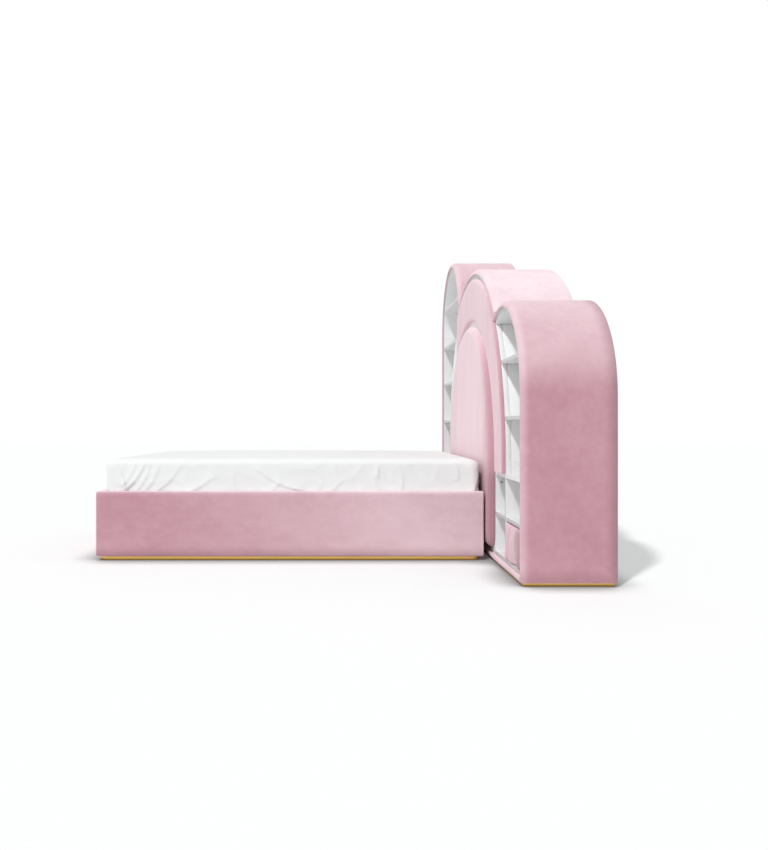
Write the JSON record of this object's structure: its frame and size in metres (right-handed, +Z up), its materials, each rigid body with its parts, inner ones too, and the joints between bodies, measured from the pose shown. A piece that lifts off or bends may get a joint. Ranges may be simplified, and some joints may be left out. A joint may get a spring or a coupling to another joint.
{
  "type": "upholstered kids bed with arch headboard",
  "caption": "Velvet-covered double bed for a child's room, with a staggered arch headboard that holds shelves, night stands and drawers.",
  "frame": {"origin": "on the floor, under the middle of the whole bed and headboard", "axes": "+X from the foot to the headboard's back, +Y from the near side to the far side with the tallest arch, +Z up"},
  "size_m": [2.554, 2.98, 1.925],
  "materials": {
    "pink_velvet": "short pile velvet over foam",
    "white_lacquer": "satin white lacquer on board",
    "bare_timber": "planed softwood and plywood",
    "brass": "brushed gold",
    "dark_steel": "black powder coat",
    "zinc_steel": "bright zinc plating",
    "holder_plastic": "moulded black plastic",
    "cap_plastic": "grey moulded cap",
    "ticking": "quilted mattress cover",
    "white_sheet": "white cotton fitted sheet"
  },
  "bodies": {
    "frame": {"arch_back_board": "white_lacquer", "arch_front_board": "white_lacquer", "bed_plinth": "brass", "centre_arch_pad": "pink_velvet", "centre_beam": "dark_steel", "centre_legs": "dark_steel", "corner_bolts": "zinc_steel", "corner_brackets": "zinc_steel", "cover_caps": "cap_plastic", "drawer_fixed_runners": "zinc_steel", "far_arch_cover": "pink_velvet", "far_arch_liner": "white_lacquer", "far_back_panel": "white_lacquer", "far_bottom_board": "white_lacquer", "far_counter_board": "white_lacquer", "far_curved_wall": "white_lacquer", "far_divider": "white_lacquer", "far_inner_wall": "white_lacquer", "far_low_shelves": "white_lacquer", "far_shelf_1": "white_lacquer", "far_shelf_2": "white_lacquer", "far_shelf_3": "white_lacquer", "far_shelf_4": "white_lacquer", "far_side_board": "bare_timber", "far_side_cover": "pink_velvet", "fitted_sheet": "white_sheet", "foot_board": "bare_timber", "foot_cover": "pink_velvet", "front_strip_pad": "pink_velvet", "head_rail": "bare_timber", "headboard_bolts": "zinc_steel", "headboard_frame": "bare_timber", "headboard_plinth": "brass", "mattress": "ticking", "middle_arch_cover": "pink_velvet", "middle_arch_liner": "white_lacquer", "near_arch_cover": "pink_velvet", "near_arch_liner": "white_lacquer", "near_back_panel": "white_lacquer", "near_bottom_board": "white_lacquer", "near_counter_board": "white_lacquer", "near_curved_wall": "white_lacquer", "near_divider": "white_lacquer", "near_inner_wall": "white_lacquer", "near_low_shelves": "white_lacquer", "near_shelf_1": "white_lacquer", "near_shelf_2": "white_lacquer", "near_side_board": "bare_timber", "near_side_cover": "pink_velvet", "outer_arch_pad": "pink_velvet", "slat_bearers": "bare_timber", "slat_holders": "holder_plastic", "slats": "bare_timber"},
    "near_drawer": {"near_drawer_pad": "pink_velvet", "near_drawer_box": "white_lacquer", "near_drawer_runners": "zinc_steel"},
    "far_drawer": {"far_drawer_pad": "pink_velvet", "far_drawer_box": "white_lacquer", "far_drawer_runners": "zinc_steel"}
  },
  "joints": [
    {"name": "near_drawer_slide", "type": "slide", "parent": "frame", "child": "near_drawer", "axis": [-1, 0, 0], "range_m": [0, 0.3]},
    {"name": "far_drawer_slide", "type": "slide", "parent": "frame", "child": "far_drawer", "axis": [-1, 0, 0], "range_m": [0, 0.3]}
  ]
}
